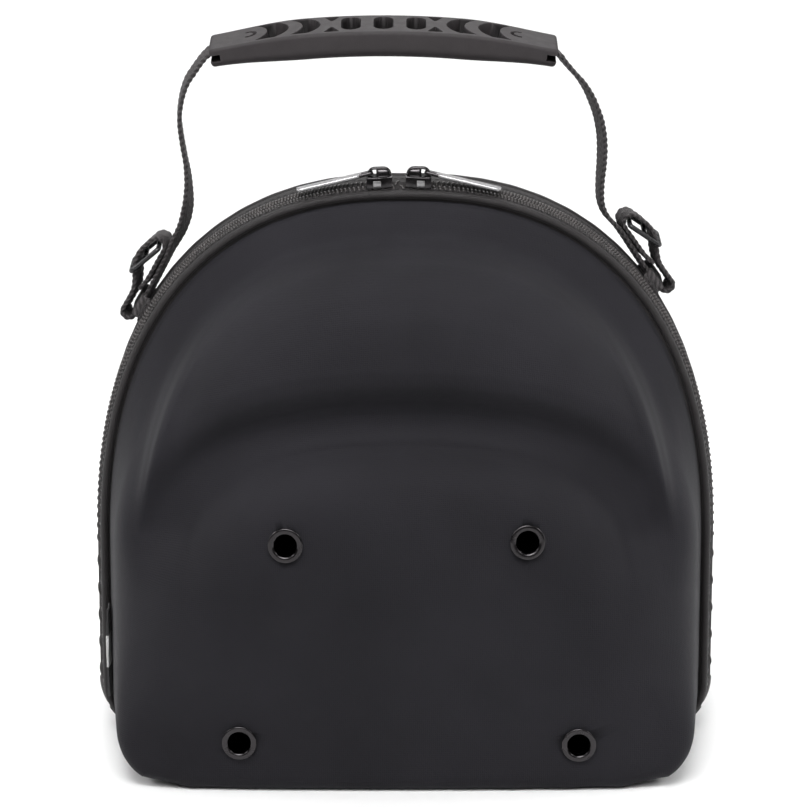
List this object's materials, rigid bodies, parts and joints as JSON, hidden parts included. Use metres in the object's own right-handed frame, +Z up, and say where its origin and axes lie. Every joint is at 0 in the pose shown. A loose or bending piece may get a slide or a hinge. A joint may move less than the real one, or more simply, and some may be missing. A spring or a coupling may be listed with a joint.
{
  "type": "moulded cap carrier case with carrying handle",
  "caption": "Moulded, padded two-half case for carrying caps, with a zip round its rim, vent eyelets, a domed front over a raised lower panel, and a moulded grip on webbing straps.",
  "frame": {"origin": "on the ground, under the middle of the case", "axes": "+X to the right and +Z up as the case stands, with its front towards -Y"},
  "size_m": [0.27, 0.1644, 0.3128],
  "materials": {
    "shell_cloth": "matt black knit laminated on moulded foam",
    "piping": "black corded piping",
    "webbing": "black woven webbing and tape",
    "coil": "black nylon coil",
    "black_metal": "glossy black plated metal",
    "bright_steel": "bright nickel",
    "grip_rubber": "matt charcoal rubber",
    "black_plastic": "glossy black moulded plastic"
  },
  "bodies": {
    "case": {"front_shell": "shell_cloth", "rear_shell": "shell_cloth", "front_piping": "piping", "rear_piping": "piping", "front_zip_tape": "webbing", "rear_zip_tape": "webbing", "bottom_hinge": "webbing", "zip_coil": "coil", "slider_left": "black_metal", "slider_right": "black_metal", "eyelet_1": "black_metal", "eyelet_2": "black_metal", "eyelet_3": "black_metal", "eyelet_4": "black_metal", "grip": "grip_rubber", "strap_left": "webbing", "strap_right": "webbing", "keeper_left": "webbing", "keeper_right": "webbing", "buckle_left": "black_plastic", "buckle_right": "black_plastic", "side_label": "webbing"},
    "left_pull": {"pull_left": "bright_steel"},
    "right_pull": {"pull_right": "bright_steel"}
  },
  "joints": [
    {"name": "left_pull_hinge", "type": "hinge", "parent": "case", "child": "left_pull", "pos_m": [-0.01436, 0, 0.2515], "axis": [0, 1, 0], "range_deg": [0, 115]},
    {"name": "right_pull_hinge", "type": "hinge", "parent": "case", "child": "right_pull", "pos_m": [0.00866, 0, 0.25172], "axis": [0, -1, 0], "range_deg": [0, 115]}
  ]
}
